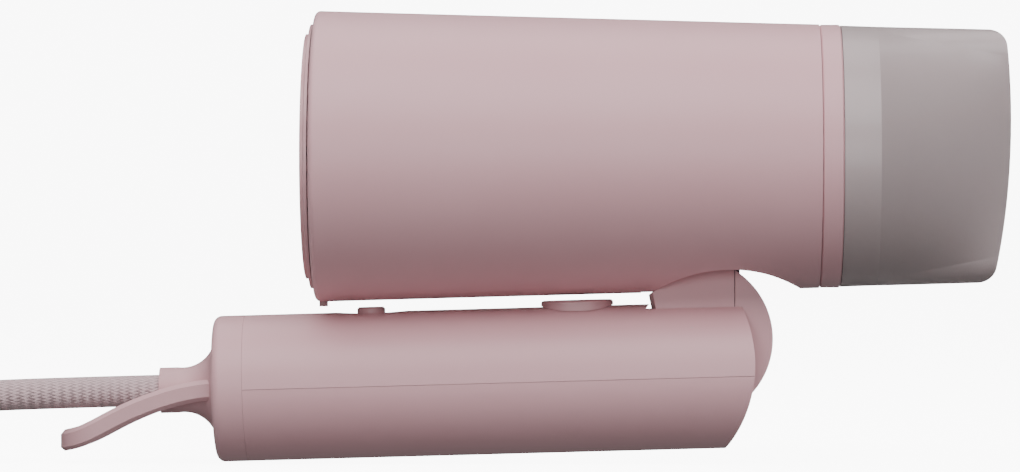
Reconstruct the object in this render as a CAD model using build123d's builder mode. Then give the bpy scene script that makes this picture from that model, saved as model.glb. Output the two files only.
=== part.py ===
"""Foldable hair dryer with a concentrator nozzle, a folding handle and a textile-covered cord.

Millimetres, +X towards the nozzle, +Z up. The handle is folded under the barrel. The origin is on the
surface that the folded dryer stands on, under the middle of its length.
"""
from build123d import *
import os
from math import cos, sin, tan, radians, sqrt

os.makedirs("parts", exist_ok=True)

# Barrel, with its lengths counted from the hinge axis
barrel_rear_radius = 36.4
barrel_front_radius = 32.9
barrel_wall = 2.2
barrel_back = 93.9
barrel_front = 31.7
barrel_edge_round = 1.4
fold_gap = 0.2  # between the folded handle and the barrel, where they come closest

# Handle
handle_radius = 18.25
handle_wall = 2.2
handle_length = 119.2
cap_length = 7.8
cap_round = 2.0
handle_tilt = 1.6  # degrees, rising towards the hinge when folded
hinge_depth = 8.9  # from the handle's top line down to the hinge axis
fold_angle = 100.0
end_radius = 34.9  # the rounded end that nests under the barrel
end_distance = 20.35  # from the hinge axis to the centre of that end
arch_angle = -62.2  # degrees, direction from the hinge to the centre of the barrel's arch
nest_gap = 0.35

# Hinge tongue
tongue_width = 12.4
slot_gap = 0.3
slot_swing = 1.1  # round the nose, so that the bracket's shoulders clear the slot as it turns
nose_radius = 20.2
corner_radius = 13.3
rear_recess = 0.6  # the tongue's rear face lies this far inside the unfolded handle's surface
bracket_width = 7.6
pin_radius = 3.0
pin_length = 27.0
pin_gap = 0.05  # radial clearance of pins, the shaft and whatever is held snugly
seam_x = 10.6  # seam between the two tongue covers, ahead of the hinge axis

# Front ring and nozzle
ring_length = 5.1
ring_gap = 0.15
spigot_radius = 30.5
spigot_wall = 1.6
spigot_reach = 6.2
neck_length = 3.6
nozzle_reach = 79.1
nozzle_radius = 32.6
nozzle_height = 63.0
nozzle_thickness = 15.0
nozzle_wall = 1.7
nozzle_draft = 0.3
nozzle_front_radius = 200.0
nozzle_front_rise = 9.5
nozzle_corner = 4.6

# Rear cover
cover_radius = 33.0
cover_dome = 2.6
cover_wall = 1.6
cover_gap = 1.1  # air gap between the cover and the barrel's rear edge
skirt_radius = 30.6
skirt_wall = 1.4
skirt_depth = 5.0
slide_gap = 0.12
catch_back = 1.95  # middle of the catch, ahead of the barrel's rear edge

# Inner parts
duct_radius = 26.8
duct_wall = 1.5
fan_radius = 24.6
motor_radius = 13.5
motor_length = 27.0
shaft_radius = 1.2
mica_radius = 23.3
mica_thickness = 0.8

# Controls
slider_length = 18.0
slider_width = 14.0
slider_top = 1.5
slider_travel = 6.0
slider_place = 28.3
slider_stem = 3.6
slider_stem_back = 0.9  # the stem stands this far behind the slider's middle, clear of the unfolded tongue
button_radius = 3.5
button_top = 1.2
button_travel = 1.0
button_place = 79.8
dish_length = 17.5
dish_depth = 0.5
board_height = 5.0
board_thickness = 1.6

# Cord, its sleeve, the hanging loop and the plug
cord_radius = 3.9
sleeve_radius = 5.7
sleeve_length = 13.9
flare_radius = 12.4
flare_length = 9.4
loop_reach = 157.8
loop_half_width = 9.8
loop_gap_half_width = 6.5
loop_depth = 5.2
coil_middle_radius = 39.0
coil_layers = 2
coil_columns = 3
coil_centre = (-198.0, -14.2)
plug_width = 35.3
plug_thickness = 13.4
plug_body_length = 34.0
plug_relief_length = 20.0
plug_pin_radius = 2.4
plug_pin_length = 19.0
plug_pin_spacing = 19.0
plug_heading = 202.0

# Places worked out from the sizes above
tilt_cos = cos(radians(handle_tilt))
tilt_sin = sin(radians(handle_tilt))
foot_z = (
    (handle_length - cap_round) * tilt_sin + (handle_radius - cap_round) * tilt_cos + cap_round
)
hinge_x = (loop_reach - nozzle_reach) / 2
hinge_offset = handle_radius - hinge_depth  # hinge axis above the handle's own axis
hinge_drop = barrel_rear_radius + fold_gap + hinge_depth  # from the barrel's axis down to the hinge axis
hinge_z = foot_z + hinge_offset * tilt_cos
foot_x = hinge_x + hinge_offset * tilt_sin
barrel_z = hinge_z + hinge_drop
barrel_axis = Axis((0, 0, barrel_z), (1, 0, 0))
handle_side = Plane(origin=(foot_x, 0, foot_z), x_dir=(tilt_cos, 0, tilt_sin), z_dir=(0, -1, 0))
handle_axis = Axis(handle_side.origin, handle_side.x_dir)
hinge_side = Plane(origin=(hinge_x, 0, hinge_z), x_dir=(1, 0, 0), z_dir=(0, -1, 0))
barrel_side = Plane(origin=(hinge_x, 0, barrel_z), x_dir=(1, 0, 0), z_dir=(0, -1, 0))
parting_plane = Plane(origin=(foot_x, 0, foot_z), x_dir=(tilt_cos, 0, tilt_sin), z_dir=(-tilt_sin, 0, tilt_cos))
end_angle = arch_angle - fold_angle - handle_tilt
end_centre = (
    end_distance * cos(radians(end_angle)),
    hinge_offset + end_distance * sin(radians(end_angle)),
)
arch_radius = end_radius + nest_gap
arch_centre = (end_distance * cos(radians(arch_angle)), end_distance * sin(radians(arch_angle)))
barrel_taper = (barrel_rear_radius - barrel_front_radius) / (barrel_back + barrel_front)
slot_width = tongue_width + 2 * slot_gap
catch_place = catch_back - barrel_back
inner_handle_radius = handle_radius - handle_wall
slider_slot_place = slider_travel / 2 - slider_place - slider_stem_back
ring_front = barrel_front + ring_gap + ring_length
wide = 100.0  # half the depth of cuts that go right through


def barrel_section(x):
    """The plane across the barrel's axis, x ahead of the hinge."""
    return Plane(origin=(hinge_x + x, 0, barrel_z), x_dir=(0, 1, 0), z_dir=(1, 0, 0))


def handle_section(x):
    """The plane across the handle's axis, x ahead of the hinge's foot on it."""
    return Plane(origin=handle_side.from_local_coords((x, 0, 0)), x_dir=(0, 1, 0), z_dir=handle_side.x_dir)


def handle_level(x, height):
    """The plane parallel to the handle's parting plane, at that height over its axis."""
    return Plane(
        origin=handle_side.from_local_coords((x, height, 0)),
        x_dir=handle_side.x_dir,
        z_dir=parting_plane.z_dir,
    )


def barrel_radius_at(x):
    return barrel_front_radius + (barrel_front - x) * barrel_taper


# ---- Barrel shell: a tapered tube with a rounded rear edge and the arch that the handle's end nests in
with BuildPart() as barrel_cavity:
    with BuildSketch(barrel_side):
        with BuildLine():
            Polyline(
                (-barrel_back - 1, 0),
                (-barrel_back - 1, barrel_radius_at(-barrel_back - 1) - barrel_wall),
                (barrel_front + 1, barrel_radius_at(barrel_front + 1) - barrel_wall),
                (barrel_front + 1, 0),
                close=True,
            )
        make_face()
    revolve(axis=barrel_axis)
    with BuildSketch(hinge_side):
        with Locations(arch_centre):
            Circle(arch_radius + barrel_wall)
    extrude(amount=wide, both=True, mode=Mode.SUBTRACT)

with BuildPart() as barrel_shell:
    with BuildSketch(barrel_side):
        with BuildLine():
            Polyline(
                (-barrel_back, 0),
                (-barrel_back, barrel_rear_radius),
                (barrel_front, barrel_front_radius),
                (barrel_front, 0),
                close=True,
            )
        make_face()
    revolve(axis=barrel_axis)
    fillet(barrel_shell.edges().filter_by(GeomType.CIRCLE).sort_by(Axis.X)[0], barrel_edge_round)
    add(barrel_cavity.part, mode=Mode.SUBTRACT)
    with BuildSketch(hinge_side):
        with Locations(arch_centre):
            Circle(arch_radius)
    extrude(amount=wide, both=True, mode=Mode.SUBTRACT)
    # passage for the hinge bracket
    with BuildSketch(hinge_side):
        with Locations((0, arch_centre[1] + arch_radius)):
            Rectangle(2 * seam_x + 4, 20)
    extrude(amount=bracket_width / 2 + 0.1, both=True, mode=Mode.SUBTRACT)
    # hole for the rear cover's catch
    with BuildSketch(barrel_side):
        with Locations((catch_place, -barrel_rear_radius)):
            Rectangle(2.3, 9)
    extrude(amount=2.7, both=True, mode=Mode.SUBTRACT)
barrel_shell.part.label = "barrel_shell"
export_step(barrel_shell.part, "parts/barrel_shell.step")

# ---- Rear frame: the dark ring inside the barrel's rear edge that the cover plugs into
frame_back = barrel_back - 1.6
frame_length = 5.0
frame_bore = skirt_radius + slide_gap
with BuildPart() as rear_frame:
    with BuildSketch(barrel_section(-frame_back)):
        Circle(barrel_radius_at(-frame_back + frame_length) - barrel_wall)
        Circle(frame_bore, mode=Mode.SUBTRACT)
    extrude(amount=frame_length)
    # guard spokes with a hub, ahead of the cover's skirt
    with BuildSketch(barrel_section(-frame_back + frame_length)):
        Circle(barrel_radius_at(-frame_back + frame_length + 2) - barrel_wall)
        Circle(frame_bore - 1, mode=Mode.SUBTRACT)
        Circle(4)
        with PolarLocations(0, 6):
            with Locations((frame_bore / 2, 0)):
                Rectangle(frame_bore, 1.6)
    extrude(amount=2)
    with BuildSketch(barrel_side):
        with Locations((catch_place, -barrel_rear_radius)):
            Rectangle(2.3, 9)
    extrude(amount=2.7, both=True, mode=Mode.SUBTRACT)
rear_frame.part.label = "rear_frame"
export_step(rear_frame.part, "parts/rear_frame.step")

# ---- Cover catch: the small tab under the rear edge that is pressed up to free the cover
with BuildPart() as cover_catch:
    with BuildSketch(barrel_side):
        with Locations((catch_place, -barrel_rear_radius + 1.1)):
            Rectangle(1.9, 4.4)
    extrude(amount=2.4, both=True)
cover_catch.part.label = "cover_catch"
export_step(cover_catch.part, "parts/cover_catch.step")

# ---- Rear cover: a shallow dome standing off the barrel on a slotted skirt, so that air enters all round
cover_rim = -barrel_back - cover_gap
dome_radius = (cover_radius**2 + cover_dome**2) / (2 * cover_dome)
with BuildPart() as rear_cover:
    with BuildSketch(barrel_side):
        with BuildLine():
            Line((cover_rim - cover_dome, 0), (cover_rim - cover_dome + cover_wall, 0))
            Line((cover_rim - cover_dome + cover_wall, 0), (cover_rim + 0.7, cover_radius - 3.0))
            Line((cover_rim + 0.7, cover_radius - 3.0), (cover_rim + 0.7, cover_radius))
            Line((cover_rim + 0.7, cover_radius), (cover_rim, cover_radius))
            RadiusArc((cover_rim, cover_radius), (cover_rim - cover_dome, 0), -dome_radius)
        make_face()
    revolve(axis=barrel_axis)
    with BuildSketch(barrel_section(cover_rim - 1.2)):
        Circle(skirt_radius)
        Circle(skirt_radius - skirt_wall, mode=Mode.SUBTRACT)
    extrude(amount=1.2 + cover_gap + skirt_depth)
    # air slots round the skirt
    with BuildSketch(barrel_section(cover_rim + 2.9)):
        with PolarLocations(skirt_radius - skirt_wall / 2, 30):
            Rectangle(skirt_wall + 2, 3.6)
    extrude(amount=2.2, both=True, mode=Mode.SUBTRACT)
rear_cover.part.label = "rear_cover"
export_step(rear_cover.part, "parts/rear_cover.step")

# ---- Filter mesh: the fine disc held inside the cover's skirt
with BuildPart() as filter_mesh:
    with BuildSketch(barrel_section(cover_rim + cover_gap + skirt_depth - 0.9)):
        Circle(skirt_radius - skirt_wall)
    extrude(amount=0.6)
filter_mesh.part.label = "filter_mesh"
export_step(filter_mesh.part, "parts/filter_mesh.step")

# ---- Air duct: the fan's shroud, with the motor cup held in its middle by stator vanes
duct_back = -barrel_back + 9.5
duct_front = -19.0
cup_back = -70.0
cup_front = cup_back + motor_length + 1.6
cup_radius = motor_radius + 1.6
with BuildPart() as air_duct:
    with BuildSketch(barrel_section(duct_back)):
        Circle(duct_radius)
        Circle(duct_radius - duct_wall, mode=Mode.SUBTRACT)
    extrude(amount=duct_front - duct_back)
    with BuildSketch(barrel_section(duct_back)):
        Circle(barrel_radius_at(duct_back + 2) - barrel_wall)
        Circle(duct_radius - duct_wall, mode=Mode.SUBTRACT)
    extrude(amount=2)
    with BuildSketch(barrel_section(cup_back)):
        Circle(cup_radius)
        Circle(motor_radius + pin_gap, mode=Mode.SUBTRACT)
    extrude(amount=cup_front - cup_back)
    with BuildSketch(barrel_section(cup_back)):
        Circle(cup_radius)
        Circle(4.0, mode=Mode.SUBTRACT)
    extrude(amount=1.5)
    with BuildSketch(barrel_section(cup_back + 2)):
        with PolarLocations(0, 7):
            with Locations(((cup_radius + duct_radius - duct_wall) / 2, 0)):
                Rectangle(duct_radius - duct_wall - cup_radius + 1, 1.4)
    extrude(amount=18)
air_duct.part.label = "air_duct"
export_step(air_duct.part, "parts/air_duct.step")

# ---- Motor: a can with a boss at the fan's end
with BuildPart() as motor:
    with BuildSketch(barrel_section(cup_back + 1.5)):
        Circle(motor_radius)
    extrude(amount=motor_length)
    chamfer(motor.edges().filter_by(GeomType.CIRCLE).sort_by(Axis.X)[-1], 1.2)
    with BuildSketch(barrel_section(cup_back + 0.2)):
        Circle(3.4)
    extrude(amount=1.3)
    with BuildSketch(barrel_section(cup_back + 0.2)):
        Circle(shaft_radius + pin_gap)
    extrude(amount=12, mode=Mode.SUBTRACT)
motor.part.label = "motor"
export_step(motor.part, "parts/motor.step")

# ---- Motor shaft and fan, which turn together
fan_back = cup_back - 12.5
with BuildPart() as motor_shaft:
    with BuildSketch(barrel_section(fan_back + 1)):
        Circle(shaft_radius)
    extrude(amount=cup_back + 11.8 - fan_back - 1)
motor_shaft.part.label = "motor_shaft"
export_step(motor_shaft.part, "parts/motor_shaft.step")

with BuildPart() as fan:
    with BuildSketch(barrel_section(fan_back)):
        Circle(8.5)
    extrude(amount=10.5)
    fillet(fan.edges().filter_by(GeomType.CIRCLE).sort_by(Axis.X)[0], 3.0)
    # seven pitched blades
    for number in range(7):
        turn = Rotation(360 / 7 * number, 0, 0)
        blade = Pos(0, 0, (8 + fan_radius) / 2) * Rotation(0, 0, 38) * Box(11, 1.4, fan_radius - 8, mode=Mode.PRIVATE)
        centre = Pos(hinge_x + fan_back + 5.2, 0, barrel_z)
        add(centre * turn * blade)
    with BuildSketch(barrel_section(fan_back - 3)):
        Circle(wide)
        Circle(fan_radius, mode=Mode.SUBTRACT)
    extrude(amount=18, mode=Mode.SUBTRACT)
    with BuildSketch(barrel_section(fan_back + 1)):
        Circle(shaft_radius)
    extrude(amount=12, mode=Mode.SUBTRACT)
fan.part.label = "fan"
export_step(fan.part, "parts/fan.step")

# ---- Motor board: the small rectifier board behind the motor's terminals
board_back = cup_back + 1.5 + motor_length + 1.4
with BuildPart() as motor_board:
    with BuildSketch(barrel_section(board_back)):
        Circle(12.0)
    extrude(amount=1.6)
    with BuildSketch(barrel_section(board_back + 1.6)):
        with PolarLocations(7.0, 4, start_angle=45):
            Rectangle(5.0, 3.0)
    extrude(amount=2.6)
    with BuildSketch(barrel_section(board_back - 1.4)):
        with PolarLocations(8.0, 2):
            Rectangle(2.0, 1.0)
    extrude(amount=1.4)
motor_board.part.label = "motor_board"
export_step(motor_board.part, "parts/motor_board.step")

# ---- Heater: two crossed mica boards, wire rings in their notches, and the mica sleeve round them
mica_back = -15.0
mica_front = 20.0
ring_places = [mica_back + 5 + 6.2 * number for number in range(5)]
ring_middle = 16.0
wire_radius = 1.1
with BuildPart() as mica_boards:
    with BuildSketch(barrel_section(mica_back)):
        Rectangle(mica_thickness, 2 * mica_radius - 3)
        Rectangle(2 * mica_radius - 3, mica_thickness)
    extrude(amount=mica_front - mica_back)
    for place in ring_places:
        add(
            Pos(hinge_x + place, 0, barrel_z) * Rotation(0, 90, 0) * Torus(ring_middle, wire_radius + pin_gap, mode=Mode.PRIVATE),
            mode=Mode.SUBTRACT,
        )
mica_boards.part.label = "mica_boards"
export_step(mica_boards.part, "parts/mica_boards.step")

with BuildPart() as heater_coils:
    for place in ring_places:
        add(Pos(hinge_x + place, 0, barrel_z) * Rotation(0, 90, 0) * Torus(ring_middle, wire_radius, mode=Mode.PRIVATE))
heater_coils.part.label = "heater_coils"
export_step(heater_coils.part, "parts/heater_coils.step")

with BuildPart() as mica_sleeve:
    with BuildSketch(barrel_section(duct_front + 0.1)):
        Circle(mica_radius)
        Circle(mica_radius - 0.6, mode=Mode.SUBTRACT)
    extrude(amount=mica_front + 1 - duct_front)
mica_sleeve.part.label = "mica_sleeve"
export_step(mica_sleeve.part, "parts/mica_sleeve.step")

# ---- Thermal cut-out and fuse, in two of the heater's quarters
with BuildPart() as thermal_cutout:
    with BuildSketch(barrel_section(mica_back + 8)):
        with Locations((7, 6)):
            Rectangle(7, 4.5)
    extrude(amount=12)
thermal_cutout.part.label = "thermal_cutout"
export_step(thermal_cutout.part, "parts/thermal_cutout.step")

with BuildPart() as thermal_fuse:
    with BuildSketch(barrel_section(mica_back + 6)):
        with Locations((-6, -5)):
            Circle(1.8)
    extrude(amount=11)
thermal_fuse.part.label = "thermal_fuse"
export_step(thermal_fuse.part, "parts/thermal_fuse.step")

# ---- Outlet grille: the guard across the barrel's front
grille_back = mica_front + 2.0
with BuildPart() as outlet_grille:
    with BuildSketch(barrel_section(grille_back)):
        for radius in (7.5, 15.0, 22.5, barrel_radius_at(grille_back + 2) - barrel_wall):
            Circle(radius)
            Circle(radius - 1.4, mode=Mode.SUBTRACT)
        with PolarLocations(0, 8):
            with Locations((3.2 + (spigot_radius - 3.2) / 2 - 0.4, 0)):
                Rectangle(spigot_radius - 3.2, 1.2)
        Circle(3.6)
    extrude(amount=2)
    with BuildSketch(hinge_side):
        with Locations(arch_centre):
            Circle(arch_radius + barrel_wall + 0.1)
    extrude(amount=wide, both=True, mode=Mode.SUBTRACT)
outlet_grille.part.label = "outlet_grille"
export_step(outlet_grille.part, "parts/outlet_grille.step")

# ---- Front ring: the pink collar that turns on a neck inside the barrel, with the nozzle's spigot
neck_radius = barrel_radius_at(barrel_front) - barrel_wall - slide_gap
with BuildPart() as front_ring:
    with BuildSketch(barrel_section(barrel_front + ring_gap)):
        Circle(barrel_front_radius - 0.1)
    extrude(amount=ring_length)
    chamfer(front_ring.edges().filter_by(GeomType.CIRCLE), 0.35)
    with BuildSketch(barrel_section(barrel_front - neck_length)):
        Circle(neck_radius)
    extrude(amount=neck_length + ring_gap)
    with BuildSketch(barrel_section(ring_front)):
        Circle(spigot_radius)
    extrude(amount=spigot_reach)
    with BuildSketch(barrel_section(barrel_front - neck_length - 1)):
        Circle(spigot_radius - spigot_wall)
    extrude(amount=neck_length + ring_length + spigot_reach + 3, mode=Mode.SUBTRACT)
front_ring.part.label = "front_ring"
export_step(front_ring.part, "parts/front_ring.step")

# ---- Nozzle: a frosted concentrator, round where it plugs on and a tall narrow slot at its mouth
nozzle_back = ring_front + ring_gap
nozzle_shoulder = nozzle_back + spigot_reach + nozzle_wall + 1
mouth_half = nozzle_height / 2
mouth_top = nozzle_reach - (mouth_half - nozzle_front_rise) ** 2 / (2 * nozzle_front_radius)
mouth_bottom = nozzle_reach - (mouth_half + nozzle_front_rise) ** 2 / (2 * nozzle_front_radius)
with BuildPart() as nozzle_hollow:
    with BuildSketch(barrel_section(nozzle_back - 1)):
        Circle(spigot_radius + slide_gap)
    extrude(amount=spigot_reach + 2)
    with BuildSketch(barrel_section(nozzle_back + spigot_reach + 1)):
        Circle(spigot_radius + slide_gap)
    with BuildSketch(barrel_section(nozzle_reach + 3)):
        SlotCenterToCenter(
            nozzle_height - nozzle_thickness, nozzle_thickness - 2 * nozzle_wall, rotation=90
        )
    loft()

with BuildPart() as nozzle:
    with BuildSketch(barrel_section(nozzle_back)):
        Circle(nozzle_radius)
    with BuildSketch(barrel_section(nozzle_shoulder)):
        Circle(nozzle_radius - nozzle_draft)
    loft()
    with BuildSketch(barrel_section(nozzle_shoulder)):
        Circle(nozzle_radius - nozzle_draft)
    with BuildSketch(barrel_section(nozzle_reach + 2)):
        SlotCenterToCenter(nozzle_height - nozzle_thickness, nozzle_thickness, rotation=90)
    loft()
    # the mouth is a gentle arc seen from the side, with rounded corners
    with BuildSketch(barrel_side):
        with BuildLine():
            Line((nozzle_back, -nozzle_radius), (nozzle_back, nozzle_radius))
            Line((nozzle_back, nozzle_radius), (mouth_top, mouth_half))
            ThreePointArc((mouth_top, mouth_half), (nozzle_reach, nozzle_front_rise), (mouth_bottom, -mouth_half))
            Line((mouth_bottom, -mouth_half), (nozzle_back, -nozzle_radius))
        make_face()
        fillet(vertices().group_by(Axis.X)[-2:], nozzle_corner)
    extrude(amount=wide, both=True, mode=Mode.INTERSECT)
    add(nozzle_hollow.part, mode=Mode.SUBTRACT)
nozzle.part.label = "nozzle"
export_step(nozzle.part, "parts/nozzle.step")

# ---- Hinge tongue: a dark bracket fixed in the barrel, with a pink cover behind and a round one in front.
# The tongue's rear face follows the unfolded handle's round surface, and the front cover is round about
# the hinge axis, so both stay inside the handle's slot as it turns.
unfolded_tilt = radians(180 + handle_tilt + fold_angle)
unfolded_dir = (cos(unfolded_tilt), sin(unfolded_tilt))
unfolded_foot = (hinge_offset * unfolded_dir[1] * -1, hinge_offset * unfolded_dir[0])
rear_dir = (unfolded_dir[1], -unfolded_dir[0])


def along_rear(distance, depth):
    """A point beside the hinge: distance along the unfolded handle, depth towards its rear."""
    return (
        distance * unfolded_dir[0] + depth * rear_dir[0],
        distance * unfolded_dir[1] + depth * rear_dir[1],
    )


rear_depth = handle_radius - hinge_offset
rear_reach = sqrt(corner_radius**2 - rear_depth**2) - 0.5
with BuildPart() as tongue_outer:
    with BuildSketch(hinge_side):
        with BuildLine():
            Polyline(
                along_rear(rear_reach, rear_depth),
                along_rear(-24, rear_depth),
                (nose_radius, 24),
                (nose_radius, -6),
                close=True,
            )
        make_face()
        Circle(corner_radius)
        with BuildLine():
            Polyline((0, 0), (seam_x, 30), (40, 30), (40, -30), (3, -nose_radius), close=True)
        make_face()
        Circle(nose_radius, mode=Mode.INTERSECT)
        with BuildLine():
            Polyline(
                along_rear(rear_reach, rear_depth),
                along_rear(-24, rear_depth),
                (seam_x, 24),
                (seam_x, 0),
                close=True,
            )
        make_face()
        with Locations(arch_centre):
            Circle(arch_radius, mode=Mode.INTERSECT)
    extrude(amount=tongue_width / 2, both=True)
    # round rear face, flush with the handle when it is unfolded
    rear_plane = Plane(
        origin=(hinge_x + unfolded_foot[0] - 60 * unfolded_dir[0], 0, hinge_z + unfolded_foot[1] - 60 * unfolded_dir[1]),
        x_dir=(0, 1, 0),
        z_dir=(unfolded_dir[0], 0, unfolded_dir[1]),
    )
    with BuildSketch(rear_plane):
        Circle(handle_radius - rear_recess)
    extrude(amount=120, mode=Mode.INTERSECT)

cover_skin = 1.6
with BuildPart() as tongue_core:
    with BuildSketch(hinge_side):
        Circle(corner_radius - cover_skin - 1.2)
        with BuildLine():
            Polyline(
                along_rear(2, rear_depth - cover_skin - 0.6),
                along_rear(-26, rear_depth - cover_skin - 0.6),
                (seam_x + 1.4, 26),
                (seam_x + 1.4, 0),
                close=True,
            )
        make_face()
    extrude(amount=bracket_width / 2, both=True)

# ---- Hinge bracket: the dark core, with its foot inside the barrel and the bore for the pin
foot_thickness = 1.6
with BuildPart() as hinge_bracket:
    add(tongue_core.part)
    with BuildSketch(hinge_side):
        with Locations(arch_centre):
            Circle(arch_radius + barrel_wall + foot_thickness)
            Circle(arch_radius + barrel_wall + 0.1, mode=Mode.SUBTRACT)
        with Locations((arch_centre[0] - 1, arch_centre[1] + arch_radius + 4)):
            Rectangle(2 * seam_x, 16, mode=Mode.INTERSECT)
    extrude(amount=8, both=True)
    with BuildSketch(hinge_side):
        with Locations(arch_centre):
            Circle(arch_radius + barrel_wall + foot_thickness)
    extrude(amount=wide, both=True, mode=Mode.INTERSECT)
    with BuildSketch(hinge_side):
        Circle(pin_radius + pin_gap)
    extrude(amount=wide, both=True, mode=Mode.SUBTRACT)
hinge_bracket.part.label = "hinge_bracket"
export_step(hinge_bracket.part, "parts/hinge_bracket.step")

# ---- Covers of the tongue, which meet at a fine seam over the bracket
with BuildPart() as tongue_skins:
    add(tongue_outer.part)
    add(offset(tongue_core.part, amount=0.05, kind=Kind.INTERSECTION, mode=Mode.PRIVATE), mode=Mode.SUBTRACT)
    with BuildSketch(hinge_side):
        Circle(pin_radius + 0.3)
    extrude(amount=wide, both=True, mode=Mode.SUBTRACT)

seam_plane = Plane(origin=(hinge_x + seam_x, 0, hinge_z), x_dir=(0, 1, 0), z_dir=(1, 0, 0))
with BuildPart() as neck_cover:
    add(tongue_skins.part)
    split(bisect_by=seam_plane, keep=Keep.BOTTOM)
neck_cover.part.label = "neck_cover"
export_step(neck_cover.part, "parts/neck_cover.step")

with BuildPart() as nose_cover:
    add(tongue_skins.part)
    split(bisect_by=seam_plane.offset(0.2), keep=Keep.TOP)
nose_cover.part.label = "nose_cover"
export_step(nose_cover.part, "parts/nose_cover.step")

# ---- Bracket screws, in the bracket's foot inside the barrel
with BuildPart() as bracket_screws:
    for side in (-1, 1):
        with BuildSketch(Plane.XY.offset(hinge_z + arch_centre[1] + arch_radius + barrel_wall + foot_thickness)):
            with Locations((hinge_x + arch_centre[0] - 4, side * 5.9)):
                Circle(1.8)
        extrude(amount=0.6)
bracket_screws.part.label = "bracket_screws"
export_step(bracket_screws.part, "parts/bracket_screws.step")

# ---- Handle: two half shells round one hollow, with ears for the hinge pin and posts for the screws
shell_back = -handle_length + cap_length
post_places = [(shell_back + 23, 8.5), (-30.0, 11.0)]
with BuildPart() as handle_body:
    with BuildSketch(handle_section(shell_back)):
        Circle(handle_radius)
    extrude(amount=handle_length + end_radius)
    with BuildSketch(handle_side):
        with Locations(end_centre):
            Circle(end_radius)
        with Locations((-100, 0)):
            Rectangle(180, 2 * wide)
    extrude(amount=wide, both=True, mode=Mode.INTERSECT)

with BuildPart() as handle_cavity:
    with BuildSketch(handle_section(shell_back - 1)):
        Circle(inner_handle_radius)
    extrude(amount=handle_length + end_radius)
    with BuildSketch(handle_side):
        with Locations(end_centre):
            Circle(end_radius - handle_wall)
        with Locations((-100, 0)):
            Rectangle(180, 2 * wide)
    extrude(amount=wide, both=True, mode=Mode.INTERSECT)
    # ears beside the tongue
    for side in (-1, 1):
        with BuildSketch(handle_side.offset(side * (slot_width / 2 + 3.6))):
            with Locations((0, hinge_offset)):
                Circle(7.0)
            with Locations((0, hinge_offset + 6)):
                Rectangle(14, 12)
        extrude(amount=3.6, both=True, mode=Mode.SUBTRACT)

with BuildPart() as handle_slot:
    with BuildSketch(handle_side):
        with Locations((0, hinge_offset)):
            Circle(nose_radius + slot_swing)
        with Locations((wide - 4, 0)):
            Rectangle(2 * wide, 2 * wide, mode=Mode.INTERSECT)
        with Locations((0, hinge_offset)):
            Circle(corner_radius + slot_gap)
    extrude(amount=slot_width / 2, both=True)

parting_groove = 0.05
with BuildPart() as handle_shells:
    add(handle_body.part)
    add(handle_cavity.part, mode=Mode.SUBTRACT)
    add(handle_slot.part, mode=Mode.SUBTRACT)
    with BuildSketch(handle_side):
        with Locations((0, hinge_offset)):
            Circle(pin_radius)
    extrude(amount=pin_length / 2, both=True, mode=Mode.SUBTRACT)

with BuildPart() as handle_upper_shell:
    add(handle_shells.part)
    split(bisect_by=parting_plane.offset(parting_groove), keep=Keep.TOP)
    # slot for the speed slider's stem
    with BuildSketch(handle_level(slider_slot_place, 0)):
        Rectangle(slider_stem + slider_travel + 0.6, 3.5 + 0.6)
    extrude(amount=handle_radius + 1, mode=Mode.SUBTRACT)
    # dish and hole for the cool-shot button
    dish_radius = (dish_length / 2) ** 2 / (2 * dish_depth)
    add(
        Pos(handle_side.from_local_coords((-button_place, handle_radius - dish_depth + dish_radius, 0)))
        * Sphere(dish_radius, mode=Mode.PRIVATE),
        mode=Mode.SUBTRACT,
    )
    with BuildSketch(handle_level(-button_place, 0)):
        Circle(button_radius + 0.15)
    extrude(amount=handle_radius + 1, mode=Mode.SUBTRACT)
handle_upper_shell.part.label = "handle_upper_shell"
export_step(handle_upper_shell.part, "parts/handle_upper_shell.step")

with BuildPart() as handle_lower_shell:
    add(handle_shells.part)
    split(bisect_by=parting_plane.offset(-parting_groove), keep=Keep.BOTTOM)
    for place, reach in post_places:
        for side in (-1, 1):
            with BuildSketch(handle_level(place, -parting_groove)):
                with Locations((0, side * reach)):
                    Circle(2.6)
            extrude(amount=-sqrt(inner_handle_radius**2 - (reach + 2.6) ** 2) - 0.4)
handle_lower_shell.part.label = "handle_lower_shell"
export_step(handle_lower_shell.part, "parts/handle_lower_shell.step")

# ---- Hinge pin across the handle's ears and through the bracket
with BuildPart() as hinge_pin:
    with BuildSketch(handle_side):
        with Locations((0, hinge_offset)):
            Circle(pin_radius)
    extrude(amount=pin_length / 2 - 0.2, both=True)
hinge_pin.part.label = "hinge_pin"
export_step(hinge_pin.part, "parts/hinge_pin.step")

# ---- End cap: closes the handle's back end, with an opening for the cord's sleeve
with BuildPart() as handle_end_cap:
    with BuildSketch(handle_section(-handle_length)):
        Circle(handle_radius)
    extrude(amount=cap_length - parting_groove)
    fillet(handle_end_cap.edges().filter_by(GeomType.CIRCLE).sort_by(Axis.X)[0], cap_round)
    with BuildSketch(handle_section(-handle_length + 2.4)):
        Circle(inner_handle_radius)
    extrude(amount=cap_length, mode=Mode.SUBTRACT)
    # lip inside the two shells
    with BuildSketch(handle_section(-handle_length + 2.4)):
        Circle(inner_handle_radius - 0.1)
        Circle(inner_handle_radius - 1.5, mode=Mode.SUBTRACT)
    extrude(amount=cap_length + 2)
    with BuildSketch(handle_section(-handle_length - 1)):
        Circle(cord_radius + 2.1)
    extrude(amount=6, mode=Mode.SUBTRACT)
handle_end_cap.part.label = "handle_end_cap"
export_step(handle_end_cap.part, "parts/handle_end_cap.step")

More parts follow.
